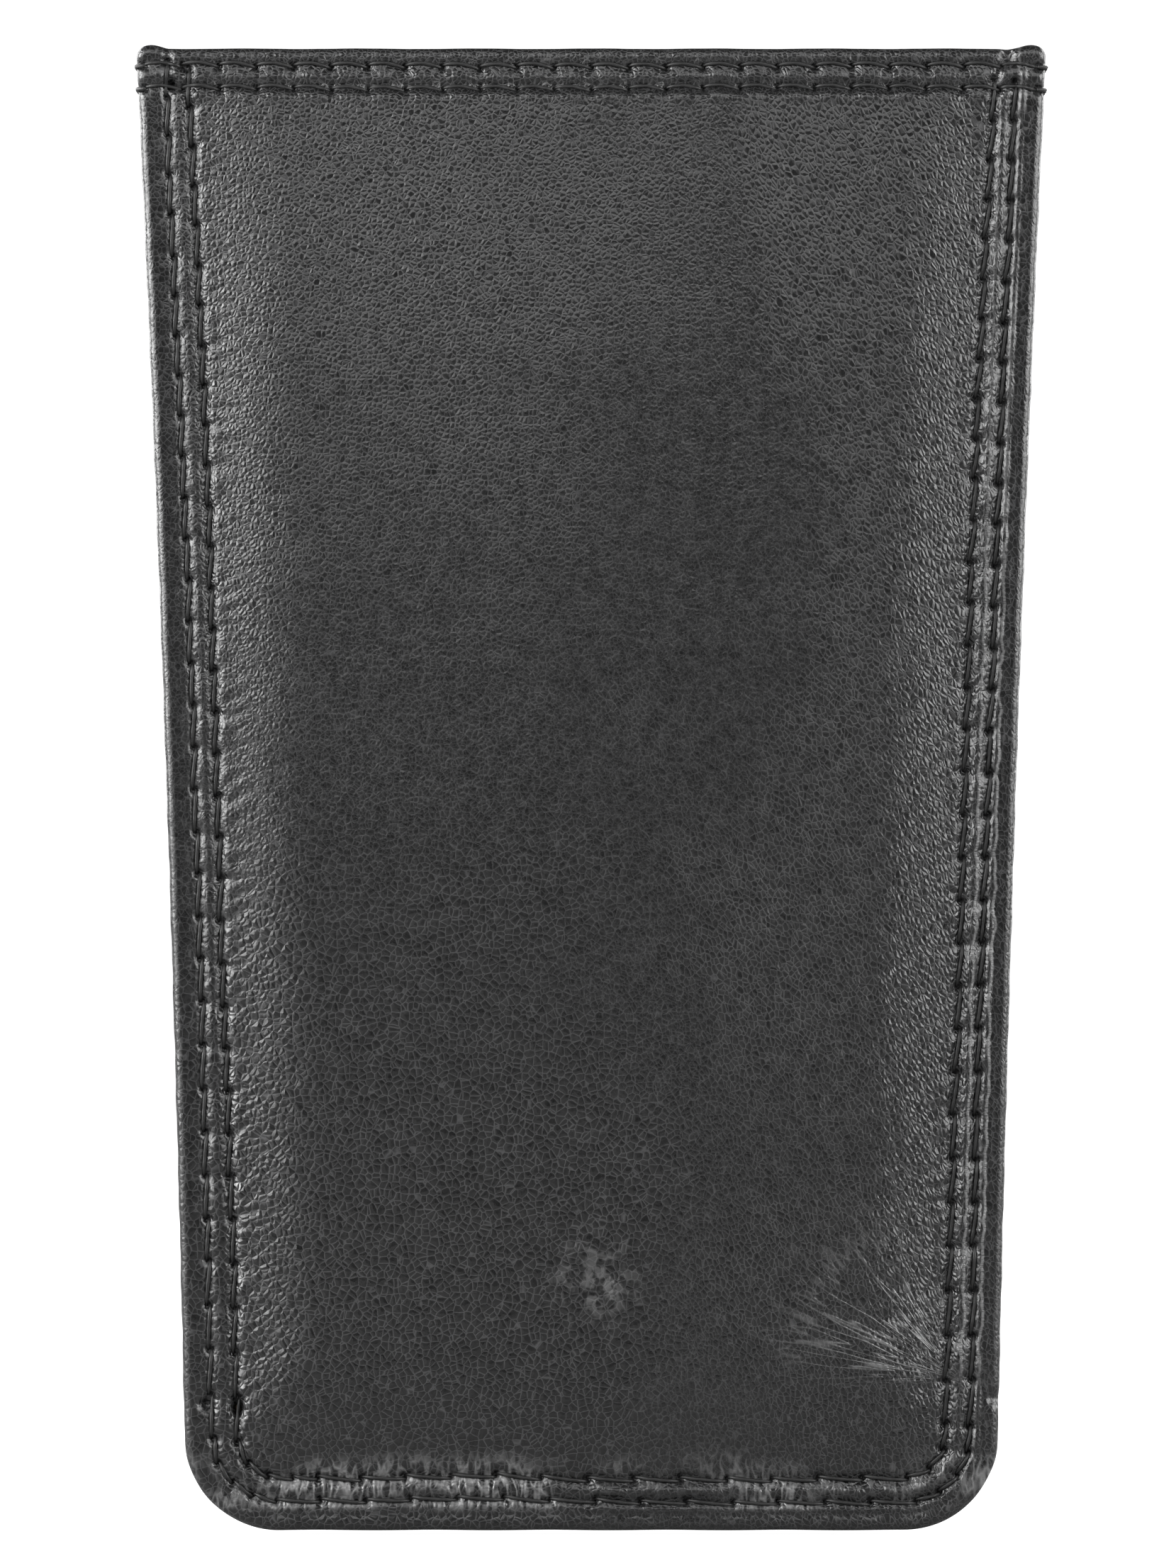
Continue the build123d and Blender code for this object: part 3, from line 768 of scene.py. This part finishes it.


# %% [markdown]
# ## Black grain leather
#
# Drum-dyed calf leather is black all through, with a thin clear finish. Its grain is a net of fine
# creases. The creases are coloured lighter than the cells between them, more in some patches than
# others: partly the dye stretched thin there, and partly a painted highlight for the light their edges
# catch. The cells are about 0.4 mm across near the mouth and 0.55 mm lower down, mixed by a slow
# blotchy mask, and on the right they are drawn out on a slant. Three places are coloured lighter still:
# the fan of creases at the lower right corner, the puckers along the foot, and the crests beside the
# right seam, which are painted highlight. The seams and the padding are real geometry: only the grain is
# bump.


# %% Mixing values and colours
def mix_values(tree, factor, a, b):
    """Blends two values by a factor socket."""
    return add_node(tree, "Mix", {"Factor": factor, "A": a, "B": b}).outputs["Result"]


def mix_colours(tree, factor, a, b):
    """Blends two colours by a factor socket."""
    node = add_node(tree, "Mix", {"Factor": factor, 6: a, 7: b}, data_type="RGBA")
    return node.outputs[2]


def grey(level, tint=1.0):
    """A near-neutral colour."""
    return (level, level, level * tint, 1)


def combine(tree, x, y):
    """A flat position made from two values."""
    return add_node(tree, "CombineXYZ", {"X": x, "Y": y}).outputs["Vector"]


# %% Lighter marks and painted highlight on the leather
# the grey below colours the lighter creases and the rivet scuff, and is painted highlight along the right
# seam crests
LIGHT_MARK_AND_PAINTED_HIGHLIGHT = 0.15
TIGHT_X, TIGHT_Z = 0.0285, 0.0115  # where the lower right corner is drawn tight, in metres
CREST_INSETS = (0.00172, 0.00312)
RIVET_MARK = (0.0004, -0.0034, 0.0193)


def corner_creases(tree, x, z):
    """Creases that fan out from where the lower right corner is drawn tight."""
    left = math_node(tree, "SUBTRACT", TIGHT_X, x)
    up = math_node(tree, "SUBTRACT", z, TIGHT_Z)
    angle = math_node(tree, "ARCTAN2", up, left)
    reach = math_node(tree, "SQRT", total(tree, product(tree, left, left), product(tree, up, up)))
    spot = combine(tree, product(tree, angle, 13.0), product(tree, reach, 150.0))
    return product(
        tree,
        add_group(tree, wrinkles, spot, Fineness=26.0).outputs["Line"],
        ramp(tree, reach, 0.002, 0.019, 1.0, 0.0),
        ramp(tree, left, 0.0, 0.0012),
        ramp(tree, angle, -0.1, 0.25),
        ramp(tree, angle, 0.85, 1.4, 1.0, 0.0),
    )


def foot_puckers(tree, x, z):
    """Short wrinkles that the two seam rows gather across the foot."""
    spot = combine(tree, product(tree, x, 1500.0), product(tree, z, 520.0))
    patch = add_group(tree, mottle, combine(tree, x, z), Blotches_per_Metre=110.0)
    return product(
        tree,
        add_group(tree, wrinkles, spot, Fineness=9.0).outputs["Line"],
        ramp(tree, z, 0.0012, 0.0022),
        ramp(tree, z, 0.0042, 0.0066, 1.0, 0.0),
        ramp(tree, patch.outputs["Blotch"], 0.42, 0.60),
    )


def painted_seam_crest_highlight(tree, x, z, from_edge):
    """The wavering crests beside the right seam rows, painted lighter as a highlight."""
    wave = add_group(tree, mottle, combine(tree, z, z), Blotches_per_Metre=330.0)
    wander = product(tree, math_node(tree, "SUBTRACT", wave.outputs["Blotch"], 0.5), 0.0011)
    moved = total(tree, from_edge, wander)
    crests = []
    for inset in CREST_INSETS:
        off_crest = math_node(tree, "ABSOLUTE", math_node(tree, "SUBTRACT", moved, inset))
        crests.append(ramp(tree, off_crest, 0.00003, 0.00017, 1.0, 0.0))
    return product(
        tree,
        fold(tree, "MAXIMUM", *crests),
        ramp(tree, x, 0.010, 0.020),
        ramp(tree, z, 0.010, 0.014),
        ramp(tree, z, 0.050, 0.100, 1.0, 0.25),
        ramp(tree, wave.outputs["Fine"], 0.36, 0.52, 0.25, 0.9),
    )


# %% Leather finish
# the crease colour is partly stretched dye and partly painted highlight
CELL_DARK, CREASE_DYE_AND_HIGHLIGHT = grey(0.004, 1.03), grey(0.048, 1.02)
CREASE_SLANT, CREASE_STRETCH = math.radians(24), (1.0, 1.0, 0.66)
EDGE_TAPER, FOOT_HALF = 0.031, 0.03115  # the sloping sides, in metres


def leather_finish(name, polish):
    """Semi-gloss black leather: fine pebble near the mouth, broader below, drawn out on the right."""
    material, tree, shader = new_material(name)
    place = add_node(tree, "TexCoord").outputs["Object"]
    x, y, z = add_node(tree, "SeparateXYZ", {"Vector": place}).outputs
    turned = add_node(tree, "VectorRotate", {"Vector": place, "Angle": CREASE_SLANT}, rotation_type="Y_AXIS")
    drawn = vector_maths(tree, "MULTIPLY", {0: turned.outputs["Vector"], 1: CREASE_STRETCH})
    fine = add_group(tree, cell_grain, place, Cells_per_Metre=2500.0, Warp=0.0002, Line_Width=0.10)
    broad = add_group(tree, cell_grain, place, Cells_per_Metre=1850.0, Warp=0.00025, Line_Width=0.085)
    crease = add_group(tree, cell_grain, drawn, Cells_per_Metre=2800.0, Warp=0.0003, Line_Width=0.09)
    blotch, patchy = add_group(tree, mottle, place, Blotches_per_Metre=55.0).outputs
    pores = add_group(tree, mottle, place, Blotches_per_Metre=5200.0)

    uneven = product(tree, math_node(tree, "SUBTRACT", blotch, 0.5), 0.06)
    low = ramp(tree, total(tree, z, uneven), 0.030, 0.095, 1.0, 0.0)
    right = ramp(tree, total(tree, x, uneven), -0.004, 0.020)
    mixed = []
    for kind in ("Line", "Dome"):
        on_left = mix_values(tree, low, fine.outputs[kind], broad.outputs[kind])
        mixed.append(mix_values(tree, right, on_left, crease.outputs[kind]))
    line, dome = mixed
    crease_dye_and_highlight_mask = product(tree, line, ramp(tree, patchy, 0.30, 0.62, 0.7, 1.0))

    from_rivet = add_node(tree, "VectorMath", {0: place, 1: RIVET_MARK}, operation="DISTANCE")
    scuff = ramp(tree, from_rivet.outputs["Value"], 0.0008, 0.0046, 1.0, 0.0)
    rubbed = product(tree, scuff, ramp(tree, patchy, 0.46, 0.62, 0.0, 0.35))
    outline = total(tree, product(tree, z, EDGE_TAPER), FOOT_HALF)
    from_edge = math_node(tree, "SUBTRACT", outline, math_node(tree, "ABSOLUTE", x))
    creased = (corner_creases(tree, x, z), foot_puckers(tree, x, z), painted_seam_crest_highlight(tree, x, z, from_edge))
    on_front = ramp(tree, y, -0.001, 0.0, 1.0, 0.0)
    # lighter creases and puckers, together with the painted highlight on the right seam crests
    creases_and_painted_highlight = product(tree, fold(tree, "MAXIMUM", *creased), on_front)

    # the grain is drawn flat where the leather is stretched round the edge
    height = total(tree, dome, product(tree, patchy, 0.35), product(tree, pores.outputs["Blotch"], 0.1),
                   product(tree, creases_and_painted_highlight, 0.8))
    height = product(tree, height, ramp(tree, from_edge, 0.0012, 0.0042, 0.35, 1.0))
    # creases coloured lighter: partly stretched dye, partly painted highlight
    grained = mix_colours(tree, crease_dye_and_highlight_mask, CELL_DARK, CREASE_DYE_AND_HIGHLIGHT)
    feed(tree, shader, {
        # the lighter marks and the painted crest highlight go into the base colour
        "Base Color": mix_colours(tree, fold(tree, "MAXIMUM", rubbed, creases_and_painted_highlight), grained, grey(LIGHT_MARK_AND_PAINTED_HIGHLIGHT)),
        "Roughness": ramp(tree, patchy, 0.25, 0.75, polish - 0.05, polish + 0.08),
        "Specular IOR Level": 0.62,
        "Normal": bump(tree, height, 0.65, 0.00009),
    })
    return material


front_leather_finish = leather_finish("front_calf_leather", 0.30)
back_leather_finish = leather_finish("back_calf_leather", 0.31)

# %% Make both panels
FRONT_RISE, BACK_RISE = 1.2, 0.5
front_panel = make_panel("front_panel_leather", FRONT, FRONT_RISE, front_leather_finish)
back_panel = make_panel("back_panel_leather", BACK, BACK_RISE, back_leather_finish)
for panel, node in ((front_panel, "front_leather"), (back_panel, "back_leather")):
    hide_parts(node)
    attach(panel, "sleeve")
    print(panel.name, len(panel.data.polygons), "faces")


# %% [markdown]
# ## Thread
#
# Leather goods are sewn with bonded three-ply thread. On a lockstitch each span lies on the leather a
# little askew, and both its ends dive into the holes. The three plies are modelled as a tube whose
# round section has three lobes that turn as it runs, so the twist is real at every distance and
# needs no image. One row of stitches is one object. The needle thread shows on the front, and the
# bobbin thread on the back.

# %% Thread finish
THREAD_RADIUS = 0.15
PLIES = 3
SIDES = 9
LOBE = 0.13  # how far a ply stands out, as a share of the radius
TWIST_LENGTH = 1.1


def thread_finish(name):
    """Black bonded thread: a soft sheen and a fibre-fine unevenness."""
    material, tree, shader = new_material(name)
    place = add_node(tree, "TexCoord").outputs["Object"]
    blotch, fibres = add_group(tree, mottle, place, Blotches_per_Metre=700.0).outputs
    feed(tree, shader, {
        "Base Color": mix_colours(tree, fibres, grey(0.004), grey(0.012)),
        "Roughness": ramp(tree, blotch, 0.3, 0.7, 0.45, 0.62),
        "Normal": bump(tree, fibres, 0.4, 0.00002),
    })
    return material


black_thread = thread_finish("black_bonded_thread")
print("thread finish ready")


# %% Tubes with a ply twist
def twisted_tube(path, vertices, faces):
    """Adds one closed three-ply tube along a path of points to the lists."""
    path = np.asarray(path, float)
    along = np.gradient(path, axis=0)
    along /= np.linalg.norm(along, axis=1)[:, None]
    travelled = np.concatenate([[0], np.cumsum(np.linalg.norm(np.diff(path, axis=0), axis=1))])
    first = len(vertices)
    for spot, direction, way in zip(path, along, travelled):
        side = np.cross(direction, [0.0, 1.0, 0.0])
        if np.linalg.norm(side) < 0.2:
            side = np.cross(direction, [1.0, 0.0, 0.0])
        side /= np.linalg.norm(side)
        up = np.cross(side, direction)
        for corner in range(SIDES):
            angle = 2 * math.pi * corner / SIDES
            lobes = 1 + LOBE * math.cos(PLIES * angle - 2 * math.pi * way / TWIST_LENGTH)
            vertices.append(spot + (side * math.cos(angle) + up * math.sin(angle)) * THREAD_RADIUS * lobes)
    for ring in range(len(path) - 1):
        for corner in range(SIDES):
            a = first + ring * SIDES + corner
            b = first + ring * SIDES + (corner + 1) % SIDES
            faces.append((a, b, b + SIDES, a + SIDES))
    faces.append(tuple(first + corner for corner in range(SIDES))[::-1])
    last = first + (len(path) - 1) * SIDES
    faces.append(tuple(last + corner for corner in range(SIDES)))


# %% One row of stitches
SPAN_SHARES = np.linspace(0, 1, 13)
PROUD, SUNK = 0.09, 0.18  # a span's middle stands on the leather and its ends are inside it


def make_stitches(name, row, side, rise, node, with_ends):
    """All the stitches of one row on one side of the sleeve, as separate spans."""
    holes = rows[row]
    vertices, faces = [], []
    spans = stitch_line(holes, SPAN_SHARES, LEAN[row], ARCH[row])
    relief = panel_relief(spans[..., 0].ravel(), spans[..., 1].ravel(), side, rise)
    level = MARGIN_DEPTH + relief.reshape(spans.shape[:2])
    level = np.maximum(level, np.median(level, axis=1)[:, None] - 0.12)
    lift = np.sin(np.pi * SPAN_SHARES) ** 0.5
    level = level + PROUD * lift - SUNK * (1 - lift)
    for span, heights in zip(spans, level):
        twisted_tube(np.stack([span[:, 0], -side * heights, span[:, 1]], 1), vertices, faces)
    if with_ends:
        for end in (0, -1):
            twisted_tube(edge_wrap(holes[end], side), vertices, faces)
    made = mesh_object(name, vertices, faces, black_thread)
    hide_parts(node)
    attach(made, "sleeve")
    return made


def edge_wrap(hole, side):
    """The hem thread where it runs over the rolled side edge and in between the panels."""
    way = math.copysign(1, hole[0])
    edge = half_width(hole[1])
    centre, radius = edge - EDGE_ROLL, EDGE_ROLL + 0.07
    points = []
    for turn in np.radians(np.linspace(8, 90, 9)):
        depth = MARGIN_DEPTH - EDGE_ROLL + radius * math.cos(turn)
        points.append((way * (centre + radius * math.sin(turn)), -side * depth, hole[1]))
    for depth in (0.95, 0.6, 0.3):
        points.append((way * (edge + 0.05), -side * depth, hole[1] - 0.05))
    points.append((way * (edge - 0.25), -side * 0.12, hole[1] - 0.06))
    return points


stitch_plan = [
    ("front_outer_stitches", "outer", FRONT, FRONT_RISE, "outer_needle_thread", False),
    ("front_inner_stitches", "inner", FRONT, FRONT_RISE, "inner_needle_thread", False),
    ("front_hem_upper_stitches", "hem_upper", FRONT, FRONT_RISE, "front_hem_upper_thread", True),
    ("front_hem_lower_stitches", "hem_lower", FRONT, FRONT_RISE, "front_hem_lower_thread", True),
    ("back_outer_stitches", "outer", BACK, BACK_RISE, "outer_bobbin_thread", False),
    ("back_inner_stitches", "inner", BACK, BACK_RISE, "inner_bobbin_thread", False),
    ("back_hem_upper_stitches", "hem_upper", BACK, BACK_RISE, "back_hem_upper_thread", True),
    ("back_hem_lower_stitches", "hem_lower", BACK, BACK_RISE, "back_hem_lower_thread", True),
]
for plan in stitch_plan:
    print(plan[0], len(make_stitches(*plan).data.polygons), "faces")


# %% [markdown]
# ## What is inside the sleeve
#
# Under the front leather lies a thin foam pad, crowned by the leather that is drawn down round it. The
# boards that the edges are turned over, and the cloth that lines the pocket, are flat sheets, so
# their engineering shapes are right and only need their finishes.

# %% Foam pad
PAD_EDGE = 5.05  # from the sleeve's side in to the pad
PAD_ROWS, PAD_COLUMNS = 54, 31
LEATHER = 0.8


def soft_finish(name, dark, light, rough, pores):
    """Foam or fibre board: fine pores on a mottled ground."""
    material, tree, shader = new_material(name)
    place = add_node(tree, "TexCoord").outputs["Object"]
    grain = add_group(tree, cell_grain, place, Cells_per_Metre=pores, Warp=0.0003, Line_Width=0.2)
    blotch = add_group(tree, mottle, place, Blotches_per_Metre=90.0)
    feed(tree, shader, {
        "Base Color": mix_colours(tree, blotch.outputs["Fine"], dark, light),
        "Roughness": rough,
        "Normal": bump(tree, grain.outputs["Dome"], 0.5, 0.00008),
    })
    return material


foam = soft_finish("grey_foam", grey(0.24), grey(0.34), 0.9, 2600.0)
fibre_board = soft_finish("fibre_board", (0.16, 0.11, 0.07, 1), (0.27, 0.20, 0.13, 1), 0.85, 1400.0)


def make_pad():
    """The crowned foam pad between the stiffener and the front leather."""
    pad_low, pad_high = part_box("front_padding")
    floor_depth = -pad_high.y / MM
    heights = np.linspace(pad_low.z / MM + 0.1, pad_high.z / MM - 0.1, PAD_ROWS)
    vertices, faces = [], []
    for raised in (True, False):
        for z in heights:
            reach = half_width(z) - PAD_EDGE - 1.2 * math.exp(-(z - heights[0]) / 1.5)
            for x in np.linspace(-1, 1, PAD_COLUMNS) * reach:
                inward = min(edge_distance(x, z), HEIGHT - z + 0.9)
                swell = 1 - (1 - min(max((inward - 4.25) / 6.5, 0), 1)) ** 2.3
                crown = MARGIN_DEPTH - LEATHER + FRONT_RISE * swell
                depth = max(crown, floor_depth + 0.05) if raised else floor_depth
                vertices.append((x, -depth, z))
    upper = np.arange(PAD_ROWS * PAD_COLUMNS).reshape(PAD_ROWS, PAD_COLUMNS)
    faces.extend(grid_faces(upper) + grid_faces(upper + upper.size))
    border = np.concatenate([np.arange(PAD_COLUMNS), upper[1:, -1], upper[-1, -2::-1], upper[-2:0:-1, 0]])
    faces.extend(ring_faces(border, border + upper.size))
    pad = mesh_object("front_foam_pad", vertices, faces, foam)
    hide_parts("front_padding")
    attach(pad, "sleeve")
    return pad


print("pad", [round(v / MM, 1) for v in make_pad().dimensions])


# %% Lining cloth
def weave_group():
    """A plain weave: crossing threads as a height, from two sine waves at right angles."""
    group, given, result = new_group("plain_weave", [("Threads per Metre", 2600.0)], ["Height", "Over"])
    axes = add_node(group, "SeparateXYZ", {"Vector": given["Position"]})
    across, along = (
        math_node(group, "SINE", product(group, axes.outputs[label], given["Threads per Metre"], math.pi))
        for label in ("X", "Z")
    )
    over = math_node(group, "GREATER_THAN", product(group, across, along), 0.0)
    threads = [math_node(group, "ABSOLUTE", wave) for wave in (across, along)]
    feed(group, result, {"Height": mix_values(group, over, *threads), "Over": over})
    return group


plain_weave = weave_group()
lining_cloth, lining_tree, lining_shader = new_material("black_lining_cloth")
lining_place = add_node(lining_tree, "TexCoord").outputs["Object"]
woven = add_group(lining_tree, plain_weave, lining_place, Threads_per_Metre=2600.0).outputs["Height"]
feed(lining_tree, lining_shader, {
    "Base Color": mix_colours(lining_tree, woven, grey(0.008), grey(0.028)),
    "Roughness": 0.75,
    "Normal": bump(lining_tree, woven, 0.7, 0.00006),
})


def refinish(finish, *nodes):
    """Gives engineering nodes their finish."""
    for node in nodes:
        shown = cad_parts[node]
        shown.data.materials.clear()
        shown.data.materials.append(finish)
        print(node, "->", finish.name)


refinish(lining_cloth, "front_lining", "back_lining")
refinish(fibre_board, "front_stiffener", "back_stiffener", "back_reinforcement")


# %% [markdown]
# ## Steel
#
# The clip is polished spring steel. Polishing leaves fine parallel scratches along the strip, and
# handling leaves a faint haze, so the gloss changes a little over the surface. The rivets are
# nickel-plated, a little warmer and softer.

# %% Steel finishes
def steel_finish(name, colour, rough, scratch_direction, scratch_depth):
    """Polished steel with fine scratches that run one way."""
    material, tree, shader = new_material(name)
    place = add_node(tree, "TexCoord").outputs["Object"]
    stretched = vector_maths(tree, "MULTIPLY", {0: place, 1: scratch_direction})
    scratches = add_node(tree, "TexNoise", {"Vector": stretched, "Scale": 1.0, "Detail": 4.0}).outputs["Fac"]
    blotch, cloudy = add_group(tree, mottle, place, Blotches_per_Metre=130.0).outputs
    dull = tuple(channel * 0.86 for channel in colour[:3]) + (1,)
    haze = ramp(tree, blotch, 0.3, 0.7, rough * 0.8, rough * 1.3)
    feed(tree, shader, {
        "Metallic": 1.0,
        "Base Color": mix_colours(tree, cloudy, dull, colour),
        "Roughness": total(tree, haze, ramp(tree, scratches, 0.45, 0.75, 0.0, 0.06)),
        "Normal": bump(tree, scratches, scratch_depth, 0.00001),
    })
    return material


ALONG_CLIP, ALONG_WIRE, ALL_WAYS = (9000.0, 9000.0, 260.0), (2600.0, 9000.0, 9000.0), (2600.0, 2600.0, 2600.0)
clip_steel = steel_finish("polished_clip_steel", (0.66, 0.66, 0.67, 1), 0.16, ALONG_CLIP, 0.25)
rivet_steel = steel_finish("nickel_plated_rivets", (0.62, 0.60, 0.57, 1), 0.22, ALL_WAYS, 0.15)
spring_steel = steel_finish("spring_wire", (0.42, 0.42, 0.44, 1), 0.28, ALONG_WIRE, 0.3)
refinish(rivet_steel, "clip_rivets", "rivet_washers", "clip_hinge_pin")

# %% [markdown]
# ## Broken edges on the clip
#
# A stamped strip is tumbled before it is polished, so none of its edges is knife sharp: each carries a
# fine round that catches a line of light. The base and the arm start from their engineering shapes,
# their flat faces are joined again from triangles, and a bevel rounds every sharp edge by a tenth of
# a millimetre. The spring's wire is round already, so it keeps its engineering shape.


# %% Clip strips and spring
FLAT, SHARP, SMOOTH = math.radians(0.5), math.radians(35), math.radians(28)
EDGE_ROUND = 0.10


def worked_copy(name, node, finish, edge_round):
    """A piece that starts from an engineering node's shape and gets its sharp edges rounded."""
    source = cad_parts[node]
    made = bpy.data.objects.new(name, source.data.copy())
    bpy.context.scene.collection.objects.link(made)
    work = bmesh.new()
    work.from_mesh(made.data)
    bmesh.ops.remove_doubles(work, verts=work.verts, dist=WELD * MM)
    if edge_round:
        bmesh.ops.dissolve_limit(work, angle_limit=FLAT, verts=work.verts, edges=work.edges)
        sharp = [edge for edge in work.edges if edge.is_manifold and edge.calc_face_angle(0) > SHARP]
        bmesh.ops.bevel(work, geom=sharp, offset=edge_round * MM, segments=3, profile=0.5, affect="EDGES",
                        clamp_overlap=True)
    bmesh.ops.recalc_face_normals(work, faces=work.faces)
    work.to_mesh(made.data)
    work.free()
    made.data.materials.clear()
    made.data.materials.append(finish)
    bpy.context.view_layer.objects.active = made
    made.select_set(True)
    bpy.ops.object.shade_auto_smooth(angle=SMOOTH)
    made.select_set(False)
    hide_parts(node)
    print(name, len(made.data.polygons), "faces")
    return made


base_strip = worked_copy("clip_base_strip", "clip_base_plate", clip_steel, EDGE_ROUND)
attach(base_strip, "sleeve")
arm_strip = worked_copy("clip_arm_strip", "clip_arm", clip_steel, EDGE_ROUND)
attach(arm_strip, "clip_arm")
spring_wire = worked_copy("clip_spring_wire", "clip_torsion_spring", spring_steel, 0)
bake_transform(spring_wire)
